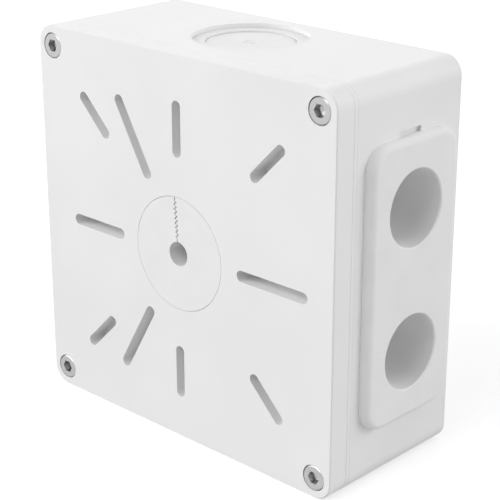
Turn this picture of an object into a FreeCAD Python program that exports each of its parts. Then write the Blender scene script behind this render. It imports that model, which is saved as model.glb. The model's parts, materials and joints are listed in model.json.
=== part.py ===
import FreeCAD, Part
import Sketcher
import math
import os
import re

# Camera junction box.
# A square moulded box with a slotted cover that a camera is screwed to. The cover is held by four
# socket screws, and soft seals close the cable entries in the cover, the right side, the top and
# the back.
#
# The frame: +X to the right seen from the front, +Z up, the front faces -Y. The origin is the
# centre of the back face, which goes against the wall.

SIZES = (
    ("box_width", "135", "side to side"),
    ("cover_depth", "7.7", "front face back to the seam"),
    ("corner_radius", "6.5", "outer corners, seen from the front"),
    ("wall", "3.5", "side walls of the box"),
    ("back_wall", "3", "back wall of the box"),
    ("cover_plate", "3.4", "front plate of the cover"),
    ("front_bevel", "0.4", "edge of the front face"),
    ("seam_bevel", "0.15", "the two edges that meet at the seam"),
    ("foot_bevel", "1.5", "foot of the side walls, inside"),
    ("rim_band", "1.45", "seam back to the fine line round the box"),
    ("rim_line_width", "0.25", "fine line round the box"),
    ("rim_line_depth", "0.06", "fine line round the box"),
    ("loop_radius", "3", "corners of the inner space, seen from the front"),
    ("tongue_width", "1.4", "tongue that stands on the rim"),
    ("tongue_height", "2", "tongue that stands on the rim"),
    ("gasket_thickness", "1.8", "gasket in the groove of the cover"),
    ("gasket_clearance", "0.05", "gasket to each side of its groove"),
    ("groove_clearance", "0.3", "tongue to each side of the groove"),
    ("groove_wall", "1.6", "inner wall of the groove"),
    ("skirt_depth", "2.5", "groove wall past the seam, into the box"),
    ("screw_inset", "7", "screw axis to the outer side"),
    ("thread_diameter", "5", "cover screw"),
    ("screw_length", "16", "cover screw, under the head"),
    ("head_diameter", "8.5", "cover screw"),
    ("head_height", "5", "cover screw"),
    ("head_bevel", "0.3", "edge of the screw head"),
    ("head_clearance", "0.25", "head to the side of its recess"),
    ("socket_width", "4", "hexagon socket across its flats"),
    ("socket_depth", "2.6", "hexagon socket"),
    ("socket_point", "0.9", "conical end of the socket"),
    ("tip_bevel", "0.6", "end of the cover screw"),
    ("shank_clearance", "0.25", "screw to the side of a plain hole"),
    ("thread_clearance", "0.05", "screw to the bore of its insert"),
    ("tip_clearance", "1", "screw tip to the end of its hole"),
    ("insert_diameter", "7", "brass insert"),
    ("insert_length", "10", "brass insert"),
    ("insert_bevel", "0.4", "ends of the brass insert"),
    ("insert_waist", "0.5", "depth of the groove round the insert"),
    ("insert_clearance", "0.03", "insert to its hole"),
    ("insert_sink", "1.2", "top of the insert below the rim"),
    ("retainer_diameter", "8.4", "ring that keeps the screw in the cover"),
    ("retainer_thickness", "0.8", "ring that keeps the screw in the cover"),
    ("retainer_clearance", "0.15", "ring to the side of its recess"),
    ("recess_web", "1.25", "head recess to the gasket groove"),
    ("pillar_depth", "17", "solid part of a corner pillar, from the rim"),
    ("pillar_wall", "2.5", "diagonal wall behind the solid part"),
    ("pillar_core_radius", "2.5", "corners of the hollow behind a pillar"),
    ("seat_diameter", "39.7", "seat of a round seal"),
    ("seat_gap", "0.15", "round seal to the side of its seat"),
    ("seal_flange", "1.2", "flange of a round seal"),
    ("seal_panel", "3", "panel that a round seal grips"),
    ("neck_hole_diameter", "33", "hole under the seat of a round seal"),
    ("neck_gap", "0.15", "neck of a round seal to its hole"),
    ("seal_lip_reach", "1.4", "inner lip past the hole"),
    ("seal_lip", "1.6", "inner lip, front to back"),
    ("seal_web", "2.3", "middle of the split seal"),
    ("seal_rim", "2.4", "wall of the neck of a round seal"),
    ("collar_wall", "2", "collar round a seat, inside the panel"),
    ("top_entry_back_room", "0.35", "collar of the top entry to the inside of the back wall"),
    ("top_entry_front_room", "2.75", "collar of the top entry to the skirt of the cover"),
    ("top_entry_recess", "1.5", "top seal below the top face"),
    ("rear_entry_recess", "0.4", "rear seal inside the back face"),
    ("membrane_diameter", "30.6", "round middle of a closed seal"),
    ("membrane_step", "0.55", "membrane below the flange"),
    ("membrane_thickness", "1.3", "membrane of a closed seal"),
    ("membrane_line_width", "0.35", "fine groove round the membrane"),
    ("membrane_line_depth", "0.5", "fine groove round the membrane"),
    ("dimple_radius", "3", "ring dimple in the middle of the membrane"),
    ("dimple_slope", "0.8", "sloping side of the dimple"),
    ("dimple_floor", "0.5", "flat floor of the dimple"),
    ("dimple_depth", "0.45", "floor of the dimple below the membrane"),
    ("cable_hole_diameter", "8.4", "hole for the cable in the split seal"),
    ("cable_sleeve_wall", "3", "sleeve round the cable hole"),
    ("cable_sleeve_length", "11", "sleeve from the front face"),
    ("slit_angle", "94", "direction of the split, in degrees"),
    ("slit_width", "0.42", "straight ends of the split, side to side"),
    ("slit_teeth", "8", "number of teeth"),
    ("slit_reach", "0.55", "teeth to each side of the split's middle line"),
    ("slit_tooth_gap", "0.6", "toothed part of the split, side to side"),
    ("slit_lead", "1.35", "straight stretch at each end of the split"),
    ("slot_width", "3.86", "camera fixing slots"),
    ("slot_depth", "7", "camera fixing slots, from the front face"),
    ("slot_wall", "1.5", "sleeve round a slot"),
    ("slot_floor", "1.5", "closed end of a slot"),
    ("upright_slot_inner", "35.3", "slots above and below the middle"),
    ("upright_slot_outer", "50.4", "slots above and below the middle"),
    ("right_slot_inner", "28.7", "slot on the right"),
    ("right_slot_outer", "55", "slot on the right"),
    ("left_slot_inner", "28.5", "slot on the left"),
    ("left_slot_outer", "50.2", "slot on the left"),
    ("corner_slot_inner", "48.8", "slots that point to the corners"),
    ("corner_slot_outer", "63.8", "slots that point to the corners"),
    ("long_slot_inner", "28.7", "two long slanted slots"),
    ("long_slot_outer", "54.8", "two long slanted slots"),
    ("conduit_diameter", "25.6", "conduit sockets"),
    ("conduit_spacing", "48.8", "conduit sockets, centre to centre"),
    ("conduit_depth", "20", "conduit sockets, from the face of the pad"),
    ("conduit_wall", "1.8", "wall of a conduit socket"),
    ("conduit_floor", "1.2", "membrane that closes a socket"),
    ("conduit_rim", "0.4", "bevelled mouth of a socket"),
    ("pad_side_margin", "8.35", "sockets to the long sides of the pad"),
    ("pad_end_margin", "10.45", "sockets to the ends of the pad"),
    ("pad_back_room", "4.35", "pad to the back of the box"),
    ("pad_front_room", "5.65", "pad to the seam"),
    ("pad_end_room", "19.85", "pad to the top and bottom of the box"),
    ("pad_radius", "8", "corners of the pad"),
    ("pad_thickness", "3.6", "side seal, proud of the box"),
    ("pad_fillet", "2.3", "edge of the side seal"),
    ("window_overlap", "3.8", "side seal past its window, all round"),
    ("window_radius", "5", "corners of the window"),
    ("window_gap", "0.15", "side seal to the edge of its window"),
    ("pad_lip_reach", "1.2", "inner lip of the side seal past the window"),
    ("pad_lip", "2", "inner lip of the side seal"),
    ("pad_core_margin", "4", "hollow behind the pad to the long sides of the window"),
    ("pad_core_web", "1.5", "hollow behind the pad to the sockets"),
    ("pad_core_depth", "5.5", "hollow behind the pad"),
    ("pad_core_radius", "1", "corners of the hollow behind the pad"),
    ("notch_width", "10.8", "notch for prising the side seal out"),
    ("notch_reach", "1.75", "notch past the end of the side seal"),
    ("notch_under", "0.3", "notch under the end of the side seal"),
    ("notch_depth", "1.1", "notch into the side wall"),
    ("fixing_inset", "22.5", "wall fixing holes to the outer sides"),
    ("fixing_hole_diameter", "8.2", "wall fixing holes"),
    ("fixing_boss_diameter", "14", "bosses round the wall fixing holes"),
    ("fixing_boss_height", "1.5", "bosses round the wall fixing holes"),
    ("grommet_diameter", "12", "flange of a wall screw seal"),
    ("grommet_flange", "1.6", "flange of a wall screw seal"),
    ("grommet_gap", "0.15", "neck of a wall screw seal to its hole"),
    ("grommet_bore", "4.6", "hole for the wall screw"),
    ("grommet_recess", "0.4", "end of the neck inside the back face"),
    ("grommet_bevel", "0.4", "edges of a wall screw seal"),
    ("rib_width", "1.2", "ribs on the back wall"),
    ("rib_height", "1.4", "ribs on the back wall"),
)

document = FreeCAD.newDocument("camera_junction_box")
sheet = document.addObject("Spreadsheet::Sheet", "Sizes")
for row, (alias, amount, meaning) in enumerate(SIZES, start=1):
    sheet.set(f"A{row}", meaning)
    sheet.set(f"B{row}", amount)
    sheet.setAlias(f"B{row}", alias)
document.recompute()
ALIASES = {alias for alias, amount, meaning in SIZES}

# Lengths that follow from the sizes.
PAD_WIDTH = "(conduit_diameter + 2 * pad_side_margin)"
PAD_LENGTH = "(conduit_spacing + conduit_diameter + 2 * pad_end_margin)"
SEAT_RADIUS = "(seat_diameter / 2)"
COLLAR_RADIUS = f"({SEAT_RADIUS} + collar_wall)"
# The box is as deep as the side seal or the top entry needs, whichever is more.
DEPTH_FOR_PAD = f"(pad_back_room + {PAD_WIDTH} + pad_front_room)"
TOP_ROOM = "(top_entry_back_room + top_entry_front_room + skirt_depth)"
DEPTH_FOR_TOP_ENTRY = f"(back_wall + 2 * {COLLAR_RADIUS} + {TOP_ROOM})"
RIM_HEIGHT = f"(max({DEPTH_FOR_PAD}; {DEPTH_FOR_TOP_ENTRY}))"
TOTAL_DEPTH = f"({RIM_HEIGHT} + cover_depth)"
SIDE_ENTRY_HEIGHT = f"(pad_back_room + {PAD_WIDTH} / 2)"
TOP_ENTRY_HEIGHT = f"(back_wall + {COLLAR_RADIUS} + top_entry_back_room)"
HALF_WIDTH = "(box_width / 2)"
HALF_HEIGHT = f"({PAD_LENGTH} / 2 + pad_end_room)"
FIXING_X = f"({HALF_WIDTH} - fixing_inset)"
FIXING_Z = f"({HALF_HEIGHT} - fixing_inset)"
SCREW_X = f"({HALF_WIDTH} - screw_inset)"
SCREW_Z = f"({HALF_HEIGHT} - screw_inset)"
RECESS_RADIUS = "(head_diameter / 2 + head_clearance)"
SEAT_HEIGHT = "(cover_depth - head_height)"
# The diagonal wall of the inner space keeps the tongue and its groove clear of the screw head.
DIAGONAL_TO_SCREW = f"({RECESS_RADIUS} + recess_web + groove_clearance + tongue_width)"
DIAGONAL = f"(({SCREW_X} + {SCREW_Z}) / sqrt(2) - {DIAGONAL_TO_SCREW})"
GROOVE_OUTSIDE = "(tongue_width + groove_clearance)"
GROOVE_INSIDE = "(-groove_clearance)"
SKIRT_INSIDE = "(-groove_clearance - groove_wall)"
SEAL_RADIUS = f"({SEAT_RADIUS} - seat_gap)"
NECK_HOLE_RADIUS = "(neck_hole_diameter / 2)"
NECK_RADIUS = f"({NECK_HOLE_RADIUS} - neck_gap)"
LIP_RADIUS = f"({NECK_HOLE_RADIUS} + seal_lip_reach)"
SEAL_DEPTH = "(seal_flange + seal_panel + seal_lip)"
CABLE_RADIUS = "(cable_hole_diameter / 2)"
WINDOW_WIDTH = f"({PAD_WIDTH} - 2 * window_overlap)"
WINDOW_LENGTH = f"({PAD_LENGTH} - 2 * window_overlap)"
CONDUIT_RADIUS = "(conduit_diameter / 2)"
SHANK_HOLE_RADIUS = "(thread_diameter / 2 + shank_clearance)"
CORNERS = ((1, 1), (-1, 1), (-1, -1), (1, -1))
# Points and edges nearer than this are taken to be at the same place.
CLOSE = 0.0001

# A body with this turn has its own +Z towards the front, and its own +Y up.
TO_FRONT = FreeCAD.Rotation(FreeCAD.Vector(1, 0, 0), 90)
TO_WALL = FreeCAD.Rotation(FreeCAD.Vector(1, 0, 0), -90)
TO_RIGHT = FreeCAD.Rotation(FreeCAD.Vector(1, 1, 1), 120)
TO_TOP = FreeCAD.Rotation()


def bound(text):
    """Write an expression with each size named as a cell of the sheet."""
    return re.sub(r"[a-z]\w*", lambda word: "Sizes." + word[0] if word[0] in ALIASES else word[0], text)


def number(text):
    """The value of an expression."""
    return float(sheet.evalExpression(bound(text)))


def new_body(label, turn, x="0", y="0", z="0"):
    """A sub-part with its own label and place."""
    body = document.addObject("PartDesign::Body", label)
    body.Label = label
    base = FreeCAD.Vector(number(x), number(y), number(z))
    body.Placement = FreeCAD.Placement(base, turn)
    body.setExpression("Placement.Base.x", bound(x))
    body.setExpression("Placement.Base.y", bound(y))
    body.setExpression("Placement.Base.z", bound(z))
    return body


def new_sketch(body, plane="XY_Plane", height="0", turn="0"):
    """A sketch on one of the body's own planes, raised along the plane's normal."""
    sketch = body.newObject("Sketcher::SketchObject", "outline")
    support = next(item for item in body.Origin.OriginFeatures if item.Role == plane)
    sketch.AttachmentSupport = [(support, "")]
    sketch.MapMode = "FlatFace"
    rotation = FreeCAD.Rotation(FreeCAD.Vector(0, 0, 1), number(turn))
    sketch.AttachmentOffset = FreeCAD.Placement(FreeCAD.Vector(0, 0, number(height)), rotation)
    sketch.setExpression("AttachmentOffset.Base.z", bound(height))
    return sketch


def bind(sketch, constraint, text):
    """Add a constraint whose value follows an expression."""
    index = sketch.addConstraint(constraint)
    sketch.setExpression(f"Constraints[{index}]", bound(text))


def place_point(sketch, geometry, point, x, y):
    """Fix a point of the sketch at two expressions. Zero puts it on the axis."""
    if x == "0":
        sketch.addConstraint(Sketcher.Constraint("PointOnObject", geometry, point, -2))
    else:
        bind(sketch, Sketcher.Constraint("DistanceX", -1, 1, geometry, point, number(x)), x)
    if y == "0":
        sketch.addConstraint(Sketcher.Constraint("PointOnObject", geometry, point, -1))
    else:
        bind(sketch, Sketcher.Constraint("DistanceY", -1, 1, geometry, point, number(y)), y)


def add_circle(sketch, x, y, radius):
    """A circle about the point x, y."""
    centre = FreeCAD.Vector(number(x), number(y), 0)
    circle = sketch.addGeometry(Part.Circle(centre, FreeCAD.Vector(0, 0, 1), number(radius)))
    place_point(sketch, circle, 3, x, y)
    bind(sketch, Sketcher.Constraint("Radius", circle, number(radius)), radius)


def add_polygon(sketch, points):
    """A closed outline of straight lines through points, each a pair of expressions."""
    spots = [FreeCAD.Vector(number(x), number(y), 0) for x, y in points]
    lines = []
    for start, end in zip(spots, spots[1:] + spots[:1]):
        lines.append(sketch.addGeometry(Part.LineSegment(start, end)))
    for line, following in zip(lines, lines[1:] + lines[:1]):
        sketch.addConstraint(Sketcher.Constraint("Coincident", line, 2, following, 1))
    for line, (x, y) in zip(lines, points):
        place_point(sketch, line, 1, x, y)


def meeting_point(first, second):
    """Where two lines cross, each given by its normal's angle and its distance from the origin."""
    (angle_a, reach_a), (angle_b, reach_b) = first, second
    spread = math.sin(angle_b - angle_a)
    x = (reach_a * math.sin(angle_b) - reach_b * math.sin(angle_a)) / spread
    y = (reach_b * math.cos(angle_a) - reach_a * math.cos(angle_b)) / spread
    return FreeCAD.Vector(x, y, 0)


def add_rounded_loop(sketch, sides, radius):
    """A convex outline with rounded corners.

    Each side is the angle of its outward normal in degrees, its distance from the origin and 1,
    or -1 where the origin lies outside that side. The sides go round anticlockwise.
    """
    size = number(radius)
    reaches = [(math.radians(angle), sign * number(distance) - size) for angle, distance, sign in sides]
    centres = [meeting_point(a, b) for a, b in zip(reaches, reaches[1:] + reaches[:1])]
    lines = []
    arcs = []
    for index, (angle, reach) in enumerate(reaches):
        outward = FreeCAD.Vector(math.cos(angle), math.sin(angle), 0) * size
        start = centres[index - 1] + outward
        lines.append(sketch.addGeometry(Part.LineSegment(start, centres[index] + outward)))
    for index, centre in enumerate(centres):
        start_angle = reaches[index][0]
        end_angle = reaches[(index + 1) % len(reaches)][0]
        circle = Part.Circle(centre, FreeCAD.Vector(0, 0, 1), size)
        arcs.append(sketch.addGeometry(Part.ArcOfCircle(circle, start_angle, end_angle)))
    for index, arc in enumerate(arcs):
        sketch.addConstraint(Sketcher.Constraint("Tangent", lines[index], 2, arc, 1))
        sketch.addConstraint(Sketcher.Constraint("Tangent", arc, 2, lines[(index + 1) % len(lines)], 1))
        if index:
            sketch.addConstraint(Sketcher.Constraint("Equal", arcs[0], arc))
    bind(sketch, Sketcher.Constraint("Radius", arcs[0], size), radius)
    for line, (angle, distance, sign) in zip(lines, sides):
        if angle % 180 == 0:
            sketch.addConstraint(Sketcher.Constraint("Vertical", line))
        elif angle % 90 == 0:
            sketch.addConstraint(Sketcher.Constraint("Horizontal", line))
        else:
            along = math.radians((angle + 270) % 360 - 180)
            sketch.addConstraint(Sketcher.Constraint("Angle", line, along))
        bind(sketch, Sketcher.Constraint("Distance", -1, 1, line, number(distance)), distance)


def add_radial_slot(sketch, angle, inner, outer, half_width):
    """A slot with round ends along a ray from the origin. inner and outer are its end centres."""
    turn = math.radians(angle)
    ray = FreeCAD.Vector(math.cos(turn), math.sin(turn), 0)
    across = FreeCAD.Vector(-ray.y, ray.x, 0) * number(half_width)
    near = ray * number(inner)
    far = ray * number(outer)
    up = FreeCAD.Vector(0, 0, 1)
    far_circle = Part.Circle(far, up, number(half_width))
    near_circle = Part.Circle(near, up, number(half_width))
    quarter = math.pi / 2
    right_side = sketch.addGeometry(Part.LineSegment(near - across, far - across))
    far_end = sketch.addGeometry(Part.ArcOfCircle(far_circle, turn - quarter, turn + quarter))
    left_side = sketch.addGeometry(Part.LineSegment(far + across, near + across))
    near_end = sketch.addGeometry(Part.ArcOfCircle(near_circle, turn + quarter, turn + 3 * quarter))
    middle = sketch.addGeometry(Part.LineSegment(FreeCAD.Vector(0, 0, 0), far), True)
    sketch.addConstraint(Sketcher.Constraint("Tangent", right_side, 2, far_end, 1))
    sketch.addConstraint(Sketcher.Constraint("Tangent", far_end, 2, left_side, 1))
    sketch.addConstraint(Sketcher.Constraint("Tangent", left_side, 2, near_end, 1))
    sketch.addConstraint(Sketcher.Constraint("Tangent", near_end, 2, right_side, 1))
    sketch.addConstraint(Sketcher.Constraint("Equal", far_end, near_end))
    sketch.addConstraint(Sketcher.Constraint("Coincident", middle, 1, -1, 1))
    sketch.addConstraint(Sketcher.Constraint("Coincident", middle, 2, far_end, 3))
    sketch.addConstraint(Sketcher.Constraint("PointOnObject", near_end, 3, middle))
    sketch.addConstraint(Sketcher.Constraint("Angle", middle, (turn + math.pi) % (2 * math.pi) - math.pi))
    bind(sketch, Sketcher.Constraint("Radius", far_end, number(half_width)), half_width)
    bind(sketch, Sketcher.Constraint("Distance", middle, number(outer)), outer)
    bind(sketch, Sketcher.Constraint("Distance", -1, 1, near_end, 3, number(inner)), inner)


def add_feature(body, kind, name, changes):
    """Add a feature to the body and make sure that it adds or removes material as it should."""
    adds = kind in ("PartDesign::Pad", "PartDesign::Revolution")
    before = body.Shape.Volume if body.Tip else 0.0
    feature = body.newObject(kind, name)
    changes(feature)
    body.Tip = feature
    document.recompute()
    grown = body.Shape.Volume - before
    if (grown <= 0) if adds else (grown >= 0):
        raise RuntimeError(f"{name} of {body.Label} left its volume as it was")
    return feature


def extrude(body, kind, name, sketch, length, reverse):
    """A pad or a pocket of a sketch."""
    def changes(feature):
        feature.Profile = sketch
        feature.Reversed = reverse
        feature.Length = number(length)
        feature.setExpression("Length", bound(length))
        sketch.Visibility = False
    return add_feature(body, kind, name, changes)


def pad(body, name, sketch, length, reverse=False):
    """Raise a sketch along its normal, or against it."""
    return extrude(body, "PartDesign::Pad", name, sketch, length, reverse)


def pocket(body, name, sketch, length, reverse=False):
    """Cut a sketch against its normal, or along it."""
    return extrude(body, "PartDesign::Pocket", name, sketch, length, reverse)


def turn_profile(body, kind, name, points):
    """Revolve an outline about the body's own Z, to add or to cut. Points are radius and height."""
    sketch = new_sketch(body, "XZ_Plane")
    add_polygon(sketch, points)

    def changes(feature):
        feature.Profile = sketch
        feature.ReferenceAxis = (sketch, ["V_Axis"])
        feature.Angle = 360
    return add_feature(body, kind, name, changes)


def dress_edges(body, kind, name, size, wanted):
    """Round or bevel the edges of the body for which wanted says yes."""
    base = body.Tip
    edges = [f"Edge{index}" for index, edge in enumerate(base.Shape.Edges, start=1) if wanted(edge)]
    feature = body.newObject(kind, name)
    feature.Base = (base, edges)
    cell = "Radius" if kind == "PartDesign::Fillet" else "Size"
    setattr(feature, cell, number(size))
    feature.setExpression(cell, bound(size))
    body.Tip = feature
    document.recompute()
    return feature


def middle_of(edge):
    """The point half way along an edge."""
    return edge.valueAt((edge.FirstParameter + edge.LastParameter) / 2)


def on_rounded_outline(point, half_x, half_y, radius):
    """Whether a point lies on a rounded rectangle about the origin, seen along Z."""
    over_x = max(abs(point.x) - (half_x - radius), 0)
    over_y = max(abs(point.y) - (half_y - radius), 0)
    reach = math.hypot(over_x, over_y)
    return abs(reach - radius) < CLOSE


def on_box_outline(edge, height):
    """Whether an edge of the box or cover lies on its outer side at a height."""
    middle = middle_of(edge)
    flat = abs(edge.BoundBox.ZMax - height) < CLOSE and abs(edge.BoundBox.ZMin - height) < CLOSE
    outside = on_rounded_outline(middle, number(HALF_WIDTH), number(HALF_HEIGHT), number("corner_radius"))
    return flat and outside


def box_sides(offset="0"):
    """The square outline of the box, offset outwards."""
    half_x = f"({HALF_WIDTH} + {offset})"
    half_y = f"({HALF_HEIGHT} + {offset})"
    return ((0, half_x, 1), (90, half_y, 1), (180, half_x, 1), (270, half_y, 1))


def inner_sides(offset="0"):
    """The eight-sided outline of the space in the box, which passes inside the corner pillars."""
    half_x = f"({HALF_WIDTH} - wall + {offset})"
    half_y = f"({HALF_HEIGHT} - wall + {offset})"
    slant = f"({DIAGONAL} + {offset})"
    return (
        (0, half_x, 1),
        (45, slant, 1),
        (90, half_y, 1),
        (135, slant, 1),
        (180, half_x, 1),
        (225, slant, 1),
        (270, half_y, 1),
        (315, slant, 1),
    )


def add_inner_loop(sketch, offset="0"):
    """The eight-sided outline with its round corners."""
    add_rounded_loop(sketch, inner_sides(offset), f"(loop_radius + {offset})")


def add_ring(sketch, outside, inside):
    """The closed band between two offsets of the eight-sided outline."""
    add_inner_loop(sketch, outside)
    add_inner_loop(sketch, inside)


def add_corner_circles(sketch, x, y, radius):
    """Four equal circles, one in each corner."""
    for side_x, side_y in CORNERS:
        add_circle(sketch, f"({side_x} * {x})", f"({side_y} * {y})", radius)


def add_window(sketch, length, width, radius):
    """A rounded window in the right side wall: across is up, and upwards is away from the wall."""
    half = f"({length} / 2)"
    far_side = f"({SIDE_ENTRY_HEIGHT} + {width} / 2)"
    near_side = f"({SIDE_ENTRY_HEIGHT} - {width} / 2)"
    sides = ((0, half, 1), (90, far_side, 1), (180, half, 1), (270, near_side, -1))
    add_rounded_loop(sketch, sides, radius)


def cut_screw_seats(body):
    """Holes in the corner pillars: a recess for the retainer, the insert's bore, then a plain end."""
    tip_depth = f"(screw_length - {SEAT_HEIGHT} + tip_clearance)"
    steps = (
        ("retainer recess", "(retainer_diameter / 2 + retainer_clearance)", "insert_sink"),
        ("insert bore", "(insert_diameter / 2 + insert_clearance)", "(insert_sink + insert_length)"),
        ("screw tip hole", SHANK_HOLE_RADIUS, tip_depth),
    )
    for name, radius, depth in steps:
        sketch = new_sketch(body, height=RIM_HEIGHT)
        add_corner_circles(sketch, SCREW_X, SCREW_Z, radius)
        pocket(body, name, sketch, depth)


def hollow_pillars(body):
    """Triangular hollows behind the solid part of each corner pillar, open at the back."""
    sketch = new_sketch(body)
    half_x = f"({HALF_WIDTH} - wall)"
    half_y = f"({HALF_HEIGHT} - wall)"
    slant = f"({DIAGONAL} + pillar_wall)"
    quarters = ((0, half_x, half_y), (90, half_y, half_x), (180, half_x, half_y), (270, half_y, half_x))
    for angle, first, second in quarters:
        sides = ((angle, first, 1), (angle + 90, second, 1), (angle + 225, slant, -1))
        add_rounded_loop(sketch, sides, "pillar_core_radius")
    pocket(body, "pillar hollows", sketch, f"({RIM_HEIGHT} - pillar_depth)", reverse=True)


def cut_side_window(body):
    """The window for the side seal, and the notch for prising the seal out."""
    outline = new_sketch(body, "YZ_Plane", HALF_WIDTH)
    add_window(outline, WINDOW_LENGTH, WINDOW_WIDTH, "window_radius")
    pocket(body, "side window", outline, "wall")
    notch = new_sketch(body, "YZ_Plane", HALF_WIDTH)
    low = f"({PAD_LENGTH} / 2 - notch_under)"
    high = f"({PAD_LENGTH} / 2 + notch_reach)"
    near_wall = f"({SIDE_ENTRY_HEIGHT} - notch_width / 2)"
    far_side = f"({SIDE_ENTRY_HEIGHT} + notch_width / 2)"
    add_polygon(notch, ((low, near_wall), (high, near_wall), (high, far_side), (low, far_side)))
    pocket(body, "pry notch", notch, "notch_depth")


def cut_round_entry(body, plane, outside, sign, height, recess, panel):
    """A stepped round entry for a seal, with a collar inside that brings the panel to its thickness.

    outside is how far the panel's outer face is along the plane's normal, times sign. The entry
    lies at height along the sketch's own Y.
    """
    collar_height = f"({recess} + seal_flange + seal_panel - {panel})"
    inside = f"({sign} * ({outside} - {panel}))"
    collar = new_sketch(body, plane, inside)
    add_circle(collar, "0", height, COLLAR_RADIUS)
    pad(body, "entry collar", collar, collar_height, reverse=sign > 0)
    seat = new_sketch(body, plane, f"({sign} * {outside})")
    add_circle(seat, "0", height, SEAT_RADIUS)
    pocket(body, "seal seat", seat, f"({recess} + seal_flange)", reverse=sign < 0)
    hole = new_sketch(body, plane, f"({sign} * {outside})")
    add_circle(hole, "0", height, NECK_HOLE_RADIUS)
    pocket(body, "neck hole", hole, f"({recess} + seal_flange + seal_panel)", reverse=sign < 0)


def add_wall_fixings(body):
    """Four bosses with fixing holes, and the ribs that join each boss to the next."""
    bosses = new_sketch(body, height="back_wall")
    add_corner_circles(bosses, FIXING_X, FIXING_Z, "(fixing_boss_diameter / 2)")
    pad(body, "fixing bosses", bosses, "fixing_boss_height")
    ribs = new_sketch(body, height="back_wall")
    inset = "(rib_width - fixing_boss_diameter / 2)"
    for side in ("1", "-1"):
        for reach, offset, upright in ((FIXING_X, FIXING_Z, False), (FIXING_Z, FIXING_X, True)):
            end = f"({reach} + {inset})"
            low = f"({side} * {offset} - rib_width / 2)"
            high = f"({side} * {offset} + rib_width / 2)"
            corners = ((f"(-{end})", low), (end, low), (end, high), (f"(-{end})", high))
            add_polygon(ribs, [(y, x) for x, y in corners] if upright else corners)
    pad(body, "ribs", ribs, "rib_height")
    holes = new_sketch(body)
    add_corner_circles(holes, FIXING_X, FIXING_Z, "(fixing_hole_diameter / 2)")
    pocket(body, "fixing holes", holes, "(back_wall + fixing_boss_height)", reverse=True)


def make_rear_box():
    """The moulded box: walls, corner pillars, sealing tongue and the entries for the seals."""
    body = new_body("rear_box", TO_FRONT)
    block = new_sketch(body)
    add_rounded_loop(block, box_sides(), "corner_radius")
    pad(body, "outer form", block, RIM_HEIGHT)
    space = new_sketch(body, height=RIM_HEIGHT)
    add_inner_loop(space)
    pocket(body, "inner space", space, f"({RIM_HEIGHT} - back_wall)")
    floor = number("back_wall")

    def at_wall_foot(edge):
        box = edge.BoundBox
        return abs(box.ZMin - floor) < CLOSE and abs(box.ZMax - floor) < CLOSE

    dress_edges(body, "PartDesign::Chamfer", "wall foot", "foot_bevel", at_wall_foot)
    tongue = new_sketch(body, height=RIM_HEIGHT)
    add_ring(tongue, "tongue_width", "0")
    pad(body, "tongue", tongue, "tongue_height")
    hollow_pillars(body)
    cut_screw_seats(body)
    cut_round_entry(body, "XZ_Plane", HALF_HEIGHT, -1, TOP_ENTRY_HEIGHT, "top_entry_recess", "wall")
    cut_round_entry(body, "XY_Plane", "0", -1, "0", "rear_entry_recess", "back_wall")
    add_wall_fixings(body)
    cut_side_window(body)
    rim = number(RIM_HEIGHT)

    def at_rim(edge):
        return on_box_outline(edge, rim)

    dress_edges(body, "PartDesign::Chamfer", "seam bevel", "seam_bevel", at_rim)
    line = new_sketch(body, height=f"({RIM_HEIGHT} - rim_band)")
    add_rounded_loop(line, box_sides("rim_line_width"), "(corner_radius + rim_line_width)")
    add_rounded_loop(line, box_sides("(-rim_line_depth)"), "(corner_radius - rim_line_depth)")
    pocket(body, "fine line", line, "rim_line_width")
    return body


SLOTS = (
    (0, "right_slot_inner", "right_slot_outer"),
    (45, "corner_slot_inner", "corner_slot_outer"),
    (90, "upright_slot_inner", "upright_slot_outer"),
    (120, "long_slot_inner", "long_slot_outer"),
    (135, "corner_slot_inner", "corner_slot_outer"),
    (180, "left_slot_inner", "left_slot_outer"),
    (225, "corner_slot_inner", "corner_slot_outer"),
    (240, "long_slot_inner", "long_slot_outer"),
    (270, "upright_slot_inner", "upright_slot_outer"),
    (315, "corner_slot_inner", "corner_slot_outer"),
)


def add_rectangle(sketch, width, length, radius):
    """A rounded rectangle about the origin."""
    half_x = f"({width} / 2)"
    half_y = f"({length} / 2)"
    add_rounded_loop(sketch, ((0, half_x, 1), (90, half_y, 1), (180, half_x, 1), (270, half_y, 1)), radius)


def add_slots(sketch, half_width):
    """All ten radial slots, or the sleeves round them."""
    for angle, inner, outer in SLOTS:
        add_radial_slot(sketch, angle, inner, outer, half_width)


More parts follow.
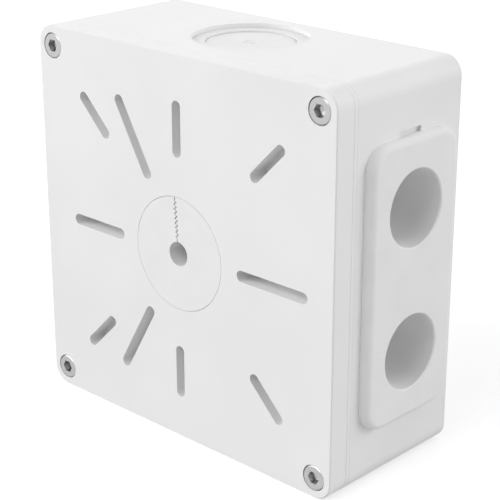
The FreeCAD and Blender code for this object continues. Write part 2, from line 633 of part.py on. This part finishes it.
def make_front_cover():
    """The cover: a plate with ten blind slots in moulded sleeves, and a groove for the gasket.

    Its own Z is zero at the seam.
    """
    body = new_body("front_cover", TO_FRONT, y=f"(-{RIM_HEIGHT})")
    block = new_sketch(body)
    add_rounded_loop(block, box_sides(), "corner_radius")
    pad(body, "outer form", block, "cover_depth")
    space = new_sketch(body)
    add_inner_loop(space, SKIRT_INSIDE)
    pocket(body, "inside of the plate", space, "(cover_depth - cover_plate)", reverse=True)
    skirt = new_sketch(body)
    add_ring(skirt, GROOVE_INSIDE, SKIRT_INSIDE)
    pad(body, "skirt", skirt, "skirt_depth", reverse=True)
    groove = new_sketch(body)
    add_ring(groove, GROOVE_OUTSIDE, GROOVE_INSIDE)
    pocket(body, "gasket groove", groove, "(tongue_height + gasket_thickness)", reverse=True)
    sleeves = new_sketch(body, height="(cover_depth - cover_plate)")
    add_slots(sleeves, "(slot_width / 2 + slot_wall)")
    pad(body, "slot sleeves", sleeves, "(slot_depth + slot_floor - cover_plate)", reverse=True)
    cut_round_entry(body, "XY_Plane", "cover_depth", 1, "0", "0", "cover_plate")
    slots = new_sketch(body, height="cover_depth")
    add_slots(slots, "(slot_width / 2)")
    pocket(body, "camera slots", slots, "slot_depth")
    recesses = new_sketch(body, height="cover_depth")
    add_corner_circles(recesses, SCREW_X, SCREW_Z, RECESS_RADIUS)
    pocket(body, "screw head recesses", recesses, "head_height")
    holes = new_sketch(body, height="cover_depth")
    add_corner_circles(holes, SCREW_X, SCREW_Z, SHANK_HOLE_RADIUS)
    pocket(body, "screw holes", holes, "cover_depth")
    front = number("cover_depth")

    def at_front(edge):
        return on_box_outline(edge, front)

    def at_seam(edge):
        return on_box_outline(edge, 0.0)

    dress_edges(body, "PartDesign::Chamfer", "front bevel", "front_bevel", at_front)
    dress_edges(body, "PartDesign::Chamfer", "seam bevel", "seam_bevel", at_seam)
    return body


def make_cover_gasket():
    """The sealing loop at the bottom of the cover's groove, pressed by the tongue."""
    body = new_body("cover_gasket", TO_FRONT, y=f"(-{RIM_HEIGHT} - tongue_height)")
    band = new_sketch(body)
    add_ring(band, f"({GROOVE_OUTSIDE} - gasket_clearance)", f"({GROOVE_INSIDE} + gasket_clearance)")
    pad(body, "band", band, "gasket_thickness")
    return body


def add_seal_neck(points, inner_radius, under_flange):
    """Finish the outline of a round seal from its flange: the neck, the lip and the hollow behind."""
    grip = "(-seal_flange - seal_panel)"
    points += [
        (SEAL_RADIUS, "0"),
        (SEAL_RADIUS, "(-seal_flange)"),
        (NECK_RADIUS, "(-seal_flange)"),
        (NECK_RADIUS, grip),
        (LIP_RADIUS, grip),
        (NECK_RADIUS, f"(-{SEAL_DEPTH})"),
        (f"({NECK_RADIUS} - seal_rim)", f"(-{SEAL_DEPTH})"),
        (f"({NECK_RADIUS} - seal_rim)", under_flange),
        (inner_radius, under_flange),
    ]
    return points


def make_cable_seal():
    """The split seal in the middle of the cover. Its own Z is zero at the front face."""
    body = new_body("cable_seal", TO_FRONT, y=f"(-{TOTAL_DEPTH})")
    sleeve_radius = f"({CABLE_RADIUS} + cable_sleeve_wall)"
    points = add_seal_neck([(CABLE_RADIUS, "0")], sleeve_radius, "(-seal_web)")
    points += [(sleeve_radius, "(-cable_sleeve_length)"), (CABLE_RADIUS, "(-cable_sleeve_length)")]
    turn_profile(body, "PartDesign::Revolution", "seal", points)
    cut_split(body)
    return body


def cut_split(body):
    """The toothed split that lets a cable in from the side: straight, then teeth, then straight."""
    straight = "slit_width / 2"
    toothed = "slit_tooth_gap / 2"
    first_tooth = f"({CABLE_RADIUS} + slit_lead)"
    tooth_run = f"(({SEAL_RADIUS} - {CABLE_RADIUS} - 2 * slit_lead) / slit_teeth)"
    teeth = int(number("slit_teeth"))
    middle_line = [(f"({CABLE_RADIUS} - slit_width)", "0", straight)]
    middle_line.append((first_tooth, "0", straight))
    for tooth in range(teeth):
        middle_line.append((f"({first_tooth} + {tooth + 0.25} * {tooth_run})", "slit_reach", toothed))
        middle_line.append((f"({first_tooth} + {tooth + 0.75} * {tooth_run})", "(-slit_reach)", toothed))
    middle_line.append((f"({first_tooth} + {teeth} * {tooth_run})", "0", straight))
    middle_line.append((f"({SEAL_RADIUS} + slit_width)", "0", straight))
    low_side = [(x, f"({y} - {half})") for x, y, half in middle_line]
    high_side = [(x, f"({y} + {half})") for x, y, half in reversed(middle_line)]
    sketch = new_sketch(body, turn="slit_angle")
    add_polygon(sketch, low_side + high_side)
    pocket(body, "split", sketch, "cable_sleeve_length")


def make_closed_seal(label, turn, y, z):
    """A round seal whose middle is a thin membrane, to be pierced for a cable."""
    body = new_body(label, turn, y=y, z=z)
    face = "(-membrane_step)"
    line_floor = "(-membrane_step - membrane_line_depth)"
    under = "(-membrane_step - membrane_thickness)"
    membrane_radius = "(membrane_diameter / 2)"
    line_radius = f"({membrane_radius} - membrane_line_width)"
    dimple_floor = "(-membrane_step - dimple_depth)"
    dimple_inside = "(dimple_radius - 2 * dimple_slope - dimple_floor)"
    points = [
        ("0", face),
        (dimple_inside, face),
        ("(dimple_radius - dimple_slope - dimple_floor)", dimple_floor),
        ("(dimple_radius - dimple_slope)", dimple_floor),
        ("dimple_radius", face),
        (line_radius, face),
        (line_radius, line_floor),
        (membrane_radius, line_floor),
        (membrane_radius, "0"),
    ]
    turn_profile(body, "PartDesign::Revolution", "seal", add_seal_neck(points, "0", under))
    return body


def make_side_conduit_seal():
    """The soft pad on the right side, with two closed conduit sockets.

    Its own Z points out of the box and is zero at the side face, and its own Y is up.
    """
    body = new_body("side_conduit_seal", TO_RIGHT, x=HALF_WIDTH, y=f"(-{SIDE_ENTRY_HEIGHT})")

    flange = new_sketch(body)
    add_rectangle(flange, PAD_WIDTH, PAD_LENGTH, "pad_radius")
    pad(body, "pad", flange, "pad_thickness")
    face = number("pad_thickness")
    edge_half_x = number(f"{PAD_WIDTH} / 2")
    edge_half_y = number(f"{PAD_LENGTH} / 2")

    def round_outside(edge):
        middle = middle_of(edge)
        at_face = abs(edge.BoundBox.ZMin - face) < CLOSE
        return at_face and on_rounded_outline(middle, edge_half_x, edge_half_y, number("pad_radius"))

    dress_edges(body, "PartDesign::Fillet", "pad edge", "pad_fillet", round_outside)
    neck = new_sketch(body)
    neck_width = f"({WINDOW_WIDTH} - 2 * window_gap)"
    neck_length = f"({WINDOW_LENGTH} - 2 * window_gap)"
    add_rectangle(neck, neck_width, neck_length, "(window_radius - window_gap)")
    pad(body, "neck", neck, "(wall + pad_lip)", reverse=True)
    lip = new_sketch(body, height="(-wall)")
    lip_width = f"({WINDOW_WIDTH} + 2 * pad_lip_reach)"
    lip_length = f"({WINDOW_LENGTH} + 2 * pad_lip_reach)"
    add_rectangle(lip, lip_width, lip_length, "(window_radius + pad_lip_reach)")
    pad(body, "lip", lip, "pad_lip", reverse=True)
    spots = ("(conduit_spacing / 2)", "(-conduit_spacing / 2)")
    sleeves = new_sketch(body)
    bores = new_sketch(body, height="pad_thickness")
    for spot in spots:
        add_circle(sleeves, "0", spot, f"({CONDUIT_RADIUS} + conduit_wall)")
        add_circle(bores, "0", spot, CONDUIT_RADIUS)
    pad(body, "sockets", sleeves, "(conduit_depth + conduit_floor - pad_thickness)", reverse=True)
    pocket(body, "conduit holes", bores, "conduit_depth")
    hollow = new_sketch(body, height="(-wall - pad_lip)")
    half_gap = f"(conduit_spacing / 2 - {CONDUIT_RADIUS} - conduit_wall - pad_core_web)"
    hollow_width = f"({WINDOW_WIDTH} - 2 * pad_core_margin)"
    add_rectangle(hollow, hollow_width, f"(2 * {half_gap})", "pad_core_radius")
    pocket(body, "hollow behind the pad", hollow, "pad_core_depth", reverse=True)
    mouth = number(CONDUIT_RADIUS)

    def at_mouth(edge):
        is_circle = hasattr(edge.Curve, "Radius") and abs(edge.Curve.Radius - mouth) < CLOSE
        return is_circle and abs(edge.BoundBox.ZMin - face) < CLOSE

    dress_edges(body, "PartDesign::Chamfer", "mouths", "conduit_rim", at_mouth)
    return body


def make_cover_screw(label, side_x, side_z):
    """A socket screw, flush with the front. Its own Z is zero under the head."""
    x = f"({side_x} * {SCREW_X})"
    z = f"({side_z} * {SCREW_Z})"
    body = new_body(label, TO_FRONT, x, f"(head_height - {TOTAL_DEPTH})", z)
    head = "(head_diameter / 2)"
    shank = "(thread_diameter / 2)"
    points = [
        ("0", "(-screw_length)"),
        (f"({shank} - tip_bevel)", "(-screw_length)"),
        (shank, "(tip_bevel - screw_length)"),
        (shank, "0"),
        (head, "0"),
        (head, "(head_height - head_bevel)"),
        (f"({head} - head_bevel)", "head_height"),
        ("0", "head_height"),
    ]
    turn_profile(body, "PartDesign::Revolution", "screw", points)
    hexagon = new_sketch(body, height="head_height")
    corner = "(socket_width / sqrt(3))"
    half_flat = "(socket_width / 2)"
    half_side = f"({corner} / 2)"
    add_polygon(hexagon, (
        (corner, "0"),
        (half_side, half_flat),
        (f"(-{half_side})", half_flat),
        (f"(-{corner})", "0"),
        (f"(-{half_side})", f"(-{half_flat})"),
        (half_side, f"(-{half_flat})"),
    ))
    pocket(body, "socket", hexagon, "socket_depth")
    floor = "(head_height - socket_depth)"
    cone = [("0", floor), (half_flat, floor), ("0", f"({floor} - socket_point)")]
    turn_profile(body, "PartDesign::Groove", "socket point", cone)
    return body


def make_threaded_insert(label, side_x, side_z):
    """A brass insert with a waist, pressed into its pillar. Its own Z is zero at its top."""
    x = f"({side_x} * {SCREW_X})"
    z = f"({side_z} * {SCREW_Z})"
    body = new_body(label, TO_FRONT, x, f"(insert_sink - {RIM_HEIGHT})", z)
    bore = "(thread_diameter / 2 + thread_clearance)"
    outer = "(insert_diameter / 2)"
    waist = f"({outer} - insert_waist)"
    narrow = f"({outer} - insert_bevel)"
    points = [
        (bore, "0"),
        (narrow, "0"),
        (outer, "(-insert_bevel)"),
        (outer, "(-0.4 * insert_length)"),
        (waist, "(-0.4 * insert_length - insert_waist)"),
        (waist, "(-0.6 * insert_length + insert_waist)"),
        (outer, "(-0.6 * insert_length)"),
        (outer, "(insert_bevel - insert_length)"),
        (narrow, "(-insert_length)"),
        (bore, "(-insert_length)"),
    ]
    turn_profile(body, "PartDesign::Revolution", "insert", points)
    return body


def make_screw_retainer(label, side_x, side_z):
    """A thin ring on the screw, against the back of the cover. Its own Z is zero at the seam."""
    x = f"({side_x} * {SCREW_X})"
    z = f"({side_z} * {SCREW_Z})"
    body = new_body(label, TO_FRONT, x, f"(-{RIM_HEIGHT})", z)
    ring = new_sketch(body)
    add_circle(ring, "0", "0", "(retainer_diameter / 2)")
    add_circle(ring, "0", "0", "(thread_diameter / 2 + thread_clearance)")
    pad(body, "ring", ring, "retainer_thickness", reverse=True)
    return body


def make_wall_screw_seal(label, side_x, side_z):
    """A soft grommet in a wall fixing hole. Its own Z is zero under the flange."""
    x = f"({side_x} * {FIXING_X})"
    z = f"({side_z} * {FIXING_Z})"
    body = new_body(label, TO_FRONT, x, "(-back_wall - fixing_boss_height)", z)
    bore = "(grommet_bore / 2)"
    flange = "(grommet_diameter / 2)"
    neck = "(fixing_hole_diameter / 2 - grommet_gap)"
    end = "(grommet_recess - back_wall - fixing_boss_height)"
    points = [
        (bore, end),
        (f"({neck} - grommet_bevel)", end),
        (neck, f"({end} + grommet_bevel)"),
        (neck, "0"),
        (flange, "0"),
        (flange, "(grommet_flange - grommet_bevel)"),
        (f"({flange} - grommet_bevel)", "grommet_flange"),
        (bore, "grommet_flange"),
    ]
    turn_profile(body, "PartDesign::Revolution", "grommet", points)
    return body


def check(bodies):
    """Stop if any object failed or any sub-part isn't a valid solid."""
    for item in document.Objects:
        if "Invalid" in item.State or "Error" in item.State:
            raise RuntimeError(f"{item.Label} failed: {item.State}")
    for body in bodies:
        shape = body.Shape
        if shape.isNull() or not shape.isValid() or len(shape.Solids) != 1:
            raise RuntimeError(f"{body.Label} is not one valid solid")


def main():
    """Build every sub-part and write each to its own file."""
    top_seal_z = f"({HALF_HEIGHT} - top_entry_recess)"
    bodies = [
        make_rear_box(),
        make_front_cover(),
        make_cover_gasket(),
        make_cable_seal(),
        make_side_conduit_seal(),
        make_closed_seal("top_entry_seal", TO_TOP, f"(-{TOP_ENTRY_HEIGHT})", top_seal_z),
        make_closed_seal("rear_entry_seal", TO_WALL, "(-rear_entry_recess)", "0"),
    ]
    for index, (side_x, side_z) in enumerate(CORNERS, start=1):
        bodies.append(make_cover_screw(f"cover_screw_{index}", side_x, side_z))
        bodies.append(make_threaded_insert(f"threaded_insert_{index}", side_x, side_z))
        bodies.append(make_screw_retainer(f"screw_retainer_{index}", side_x, side_z))
        bodies.append(make_wall_screw_seal(f"wall_screw_seal_{index}", side_x, side_z))
    document.recompute()
    check(bodies)
    os.makedirs("parts", exist_ok=True)
    for body in bodies:
        body.Shape.exportStep(os.path.join("parts", body.Label + ".step"))
    print(len(bodies), "sub-parts")


main()
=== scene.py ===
import json
import math

import bpy
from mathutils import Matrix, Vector


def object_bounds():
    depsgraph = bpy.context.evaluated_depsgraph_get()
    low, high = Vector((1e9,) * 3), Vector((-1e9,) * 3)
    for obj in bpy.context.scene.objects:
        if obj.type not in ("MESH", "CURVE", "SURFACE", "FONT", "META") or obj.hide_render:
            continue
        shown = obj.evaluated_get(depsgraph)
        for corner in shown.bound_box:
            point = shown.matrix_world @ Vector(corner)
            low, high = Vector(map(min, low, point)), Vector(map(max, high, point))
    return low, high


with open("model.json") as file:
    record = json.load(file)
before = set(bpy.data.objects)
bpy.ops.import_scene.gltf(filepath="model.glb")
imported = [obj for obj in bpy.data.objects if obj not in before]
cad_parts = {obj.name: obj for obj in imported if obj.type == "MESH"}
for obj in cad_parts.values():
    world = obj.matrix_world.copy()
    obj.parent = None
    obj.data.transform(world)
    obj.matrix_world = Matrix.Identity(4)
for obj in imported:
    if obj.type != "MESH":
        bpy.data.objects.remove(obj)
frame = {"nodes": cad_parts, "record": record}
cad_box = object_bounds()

# Camera junction box, dressed for the photograph's view.
# The solids carry all the forms, so this script gives each one its moulded, rubber or metal
# surface, and sets the floor, the lamps and the camera round them.

MM = 0.001

# Where the photograph was taken from, worked out from the box's edges: place, tilt and turn.
CAMERA_PLACE = Vector((335.90, -379.54, 177.92)) * MM
CAMERA_TILT = math.radians(69.139)
CAMERA_TURN = math.radians(43.502)
CAMERA_LENS = 108.015
CAMERA_SENSOR = 36.0
CAMERA_CLIP_START = 0.01

# The middle part of the noise that is spread over the whole range of a colour or a gloss.
NOISE_LOW = 0.3
NOISE_HIGH = 0.7

# How strongly the plastics and the rubbers mirror their surroundings.
MATT_SPECULAR = 0.2

# The floor: how far it reaches each way, how pale it is, and the glow that shows it white.
FLOOR_REACH = 1.7
FLOOR_LEVEL = 0.6
FLOOR_GLOW = 0.54

# How much the surroundings light the box, next to 1 for the white that the camera sees.
WORLD_LEVEL = 0.25
WHITE = (1.0, 1.0, 1.0, 1.0)

# Large soft lamps stand round the box, all at one distance and pointed at one spot. Each has a name,
# the way round from the front towards the right and the height above the floor, both as angles in
# degrees, and the power in watts.
LAMP_DISTANCE = 3.2
LAMP_SIDE = 2.2
LAMP_TARGET = Vector((0.0, -0.03, 0.0))
LAMPS = (
    ("left_lamp", -50.0, 20.0, 57.0),
    ("front_lamp", 0.0, 40.0, 38.0),
    ("right_lamp", 105.0, 15.0, 21.5),
    ("back_right_lamp", 135.0, 30.0, 42.0),
    ("back_left_lamp", -135.0, 30.0, 21.0),
)


def grey(level):
    """An even grey."""
    return (level, level, level)


def new_material(name):
    """An empty material with a surface shader."""
    material = bpy.data.materials.new(name)
    material.use_nodes = True
    nodes = material.node_tree.nodes
    nodes.clear()
    output = nodes.new("ShaderNodeOutputMaterial")
    shader = nodes.new("ShaderNodeBsdfPrincipled")
    material.node_tree.links.new(shader.outputs["BSDF"], output.inputs["Surface"])
    return material, shader


def object_noise(material, size, detail):
    """Noise over the object whose blotches are about size metres across."""
    nodes = material.node_tree.nodes
    place = nodes.new("ShaderNodeTexCoord")
    noise = nodes.new("ShaderNodeTexNoise")
    noise.inputs["Scale"].default_value = 1.0 / size
    noise.inputs["Detail"].default_value = detail
    material.node_tree.links.new(place.outputs["Object"], noise.inputs["Vector"])
    return noise


def vary_colour(material, shader, noise, dark, light):
    """Let the colour wander a little between two tones."""
    ramp = material.node_tree.nodes.new("ShaderNodeValToRGB")
    ramp.color_ramp.elements[0].position = NOISE_LOW
    ramp.color_ramp.elements[0].color = (*dark, 1.0)
    ramp.color_ramp.elements[1].position = NOISE_HIGH
    ramp.color_ramp.elements[1].color = (*light, 1.0)
    material.node_tree.links.new(noise.outputs["Fac"], ramp.inputs["Fac"])
    material.node_tree.links.new(ramp.outputs["Color"], shader.inputs["Base Color"])


def vary_roughness(material, shader, noise, smooth, rough):
    """Let the gloss wander between two values."""
    spread = material.node_tree.nodes.new("ShaderNodeMapRange")
    spread.inputs["From Min"].default_value = NOISE_LOW
    spread.inputs["From Max"].default_value = NOISE_HIGH
    spread.inputs["To Min"].default_value = smooth
    spread.inputs["To Max"].default_value = rough
    material.node_tree.links.new(noise.outputs["Fac"], spread.inputs["Value"])
    material.node_tree.links.new(spread.outputs["Result"], shader.inputs["Roughness"])


def add_bump(material, shader, noise, height, strength):
    """Raise the surface a little where the noise is high."""
    bump = material.node_tree.nodes.new("ShaderNodeBump")
    bump.inputs["Strength"].default_value = strength
    bump.inputs["Distance"].default_value = height
    material.node_tree.links.new(noise.outputs["Fac"], bump.inputs["Height"])
    material.node_tree.links.new(bump.outputs["Normal"], shader.inputs["Normal"])


def make_plastic(name, dark, light, smooth, rough, grain):
    """Moulded plastic: an even colour and the fine spark-eroded grain of its mould."""
    material, shader = new_material(name)
    shader.inputs["IOR"].default_value = 1.49
    shader.inputs["Specular IOR Level"].default_value = MATT_SPECULAR
    vary_colour(material, shader, object_noise(material, size=40 * MM, detail=2.0), dark, light)
    vary_roughness(material, shader, object_noise(material, size=3 * MM, detail=3.0), smooth, rough)
    grain_noise = object_noise(material, size=grain, detail=4.0)
    add_bump(material, shader, grain_noise, height=0.01 * MM, strength=0.25)
    return material


def make_rubber(name, dark, light):
    """Soft moulded rubber: duller than the shell, with a faint bloom."""
    material, shader = new_material(name)
    shader.inputs["IOR"].default_value = 1.45
    shader.inputs["Specular IOR Level"].default_value = MATT_SPECULAR
    shader.inputs["Sheen Weight"].default_value = 0.03
    shader.inputs["Sheen Roughness"].default_value = 0.6
    vary_colour(material, shader, object_noise(material, size=12 * MM, detail=3.0), dark, light)
    gloss_noise = object_noise(material, size=2 * MM, detail=3.0)
    vary_roughness(material, shader, gloss_noise, smooth=0.55, rough=0.7)
    grain_noise = object_noise(material, size=0.35 * MM, detail=3.0)
    add_bump(material, shader, grain_noise, height=0.008 * MM, strength=0.3)
    return material


def make_metal(name, dark, light, smooth, rough):
    """Bright metal with a faint grain and a gloss that wanders a little."""
    material, shader = new_material(name)
    shader.inputs["Metallic"].default_value = 1.0
    shader.inputs["Anisotropic"].default_value = 0.3
    vary_colour(material, shader, object_noise(material, size=1.5 * MM, detail=3.0), dark, light)
    vary_roughness(material, shader, object_noise(material, size=0.6 * MM, detail=4.0), smooth, rough)
    grain_noise = object_noise(material, size=0.12 * MM, detail=3.0)
    add_bump(material, shader, grain_noise, height=0.002 * MM, strength=0.25)
    return material


def make_materials():
    """One material for each slot of the record."""
    return {
        "white_shell": make_plastic(
            "white_shell", dark=grey(0.83), light=grey(0.86), smooth=0.5, rough=0.58, grain=0.25 * MM
        ),
        "white_seal": make_rubber("white_seal", dark=grey(0.82), light=grey(0.85)),
        "grey_gasket": make_rubber("grey_gasket", dark=(0.2, 0.2, 0.21), light=(0.24, 0.24, 0.25)),
        "screw_steel": make_metal(
            "screw_steel", dark=grey(0.46), light=grey(0.5), smooth=0.28, rough=0.34
        ),
        "insert_brass": make_metal(
            "insert_brass", dark=(0.72, 0.52, 0.22), light=(0.8, 0.6, 0.28), smooth=0.25, rough=0.4
        ),
        "retainer_nylon": make_plastic(
            "retainer_nylon",
            dark=(0.78, 0.77, 0.72),
            light=(0.82, 0.81, 0.77),
            smooth=0.4,
            rough=0.5,
            grain=0.3 * MM,
        ),
    }


def dress_nodes(materials):
    """Give each solid the material of its slot."""
    for entry in frame["record"]["subparts"]:
        node = frame["nodes"][entry["node"]]
        node.data.materials.clear()
        node.data.materials.append(materials[entry["material_slot"]])


def background_seen(nodes, links):
    """1 where the background is seen directly, in a reflection or through something clear, otherwise 0."""
    seen = nodes.new("ShaderNodeLightPath")
    direct = nodes.new("ShaderNodeMath")
    direct.operation = "MAXIMUM"
    either = nodes.new("ShaderNodeMath")
    either.operation = "MAXIMUM"
    links.new(seen.outputs["Is Camera Ray"], direct.inputs[0])
    links.new(seen.outputs["Is Glossy Ray"], direct.inputs[1])
    links.new(direct.outputs[0], either.inputs[0])
    links.new(seen.outputs["Is Transmission Ray"], either.inputs[1])
    return either.outputs[0]


def make_floor():
    """A wide pale floor that shows white to the camera and keeps the soft shadow under the box."""
    low = cad_box[0][2]
    corners = (
        (-FLOOR_REACH, -FLOOR_REACH, low),
        (FLOOR_REACH, -FLOOR_REACH, low),
        (FLOOR_REACH, FLOOR_REACH, low),
        (-FLOOR_REACH, FLOOR_REACH, low),
    )
    mesh = bpy.data.meshes.new("studio_floor")
    mesh.from_pydata(corners, [], [(0, 1, 2, 3)])
    floor = bpy.data.objects.new("studio_floor", mesh)
    bpy.context.scene.collection.objects.link(floor)
    material = bpy.data.materials.new("studio_floor")
    material.use_nodes = True
    nodes = material.node_tree.nodes
    links = material.node_tree.links
    nodes.clear()
    output = nodes.new("ShaderNodeOutputMaterial")
    paper = nodes.new("ShaderNodeBsdfDiffuse")
    paper.inputs["Color"].default_value = (*grey(FLOOR_LEVEL), 1.0)
    glow = nodes.new("ShaderNodeEmission")
    strength = nodes.new("ShaderNodeMath")
    strength.operation = "MULTIPLY"
    strength.inputs[1].default_value = FLOOR_GLOW
    both = nodes.new("ShaderNodeAddShader")
    links.new(background_seen(nodes, links), strength.inputs[0])
    links.new(strength.outputs[0], glow.inputs["Strength"])
    links.new(paper.outputs[0], both.inputs[0])
    links.new(glow.outputs[0], both.inputs[1])
    links.new(both.outputs[0], output.inputs["Surface"])
    mesh.materials.append(material)


def make_world():
    """Even white surroundings, seen as white and lighting the box at a plain level."""
    world = bpy.data.worlds.new("studio")
    bpy.context.scene.world = world
    world.use_nodes = True
    nodes = world.node_tree.nodes
    links = world.node_tree.links
    nodes.clear()
    output = nodes.new("ShaderNodeOutputWorld")
    background = nodes.new("ShaderNodeBackground")
    background.inputs["Color"].default_value = WHITE
    level = nodes.new("ShaderNodeMapRange")
    level.inputs["To Min"].default_value = WORLD_LEVEL
    level.inputs["To Max"].default_value = 1.0
    links.new(background_seen(nodes, links), level.inputs["Value"])
    links.new(level.outputs["Result"], background.inputs["Strength"])
    links.new(background.outputs[0], output.inputs["Surface"])


def add_lamp(name, way_round, rise, power):
    """A square soft lamp that points at the middle of the box."""
    data = bpy.data.lights.new(name, "AREA")
    data.shape = "SQUARE"
    data.size = LAMP_SIDE
    data.energy = power
    lamp = bpy.data.objects.new(name, data)
    turn = math.radians(way_round)
    lift = math.radians(rise)
    level = math.cos(lift)
    direction = Vector((math.sin(turn) * level, -math.cos(turn) * level, math.sin(lift)))
    lamp.location = LAMP_DISTANCE * direction
    lamp.rotation_euler = (LAMP_TARGET - lamp.location).to_track_quat("-Z", "Y").to_euler()
    bpy.context.scene.collection.objects.link(lamp)


def make_lamps():
    """Soft lamps all round, the strongest to the left of the front."""
    for name, way_round, rise, power in LAMPS:
        add_lamp(name, way_round, rise, power)


def make_camera():
    """The photograph's camera."""
    data = bpy.data.cameras.new("photo_camera")
    data.sensor_width = CAMERA_SENSOR
    data.sensor_fit = "HORIZONTAL"
    data.lens = CAMERA_LENS
    data.clip_start = CAMERA_CLIP_START
    camera = bpy.data.objects.new("photo_camera", data)
    camera.location = CAMERA_PLACE
    camera.rotation_euler = (CAMERA_TILT, 0.0, CAMERA_TURN)
    bpy.context.scene.collection.objects.link(camera)
    bpy.context.scene.camera = camera


bpy.context.scene.view_settings.view_transform = "Standard"
make_camera()
dress_nodes(make_materials())
make_floor()
make_world()
make_lamps()
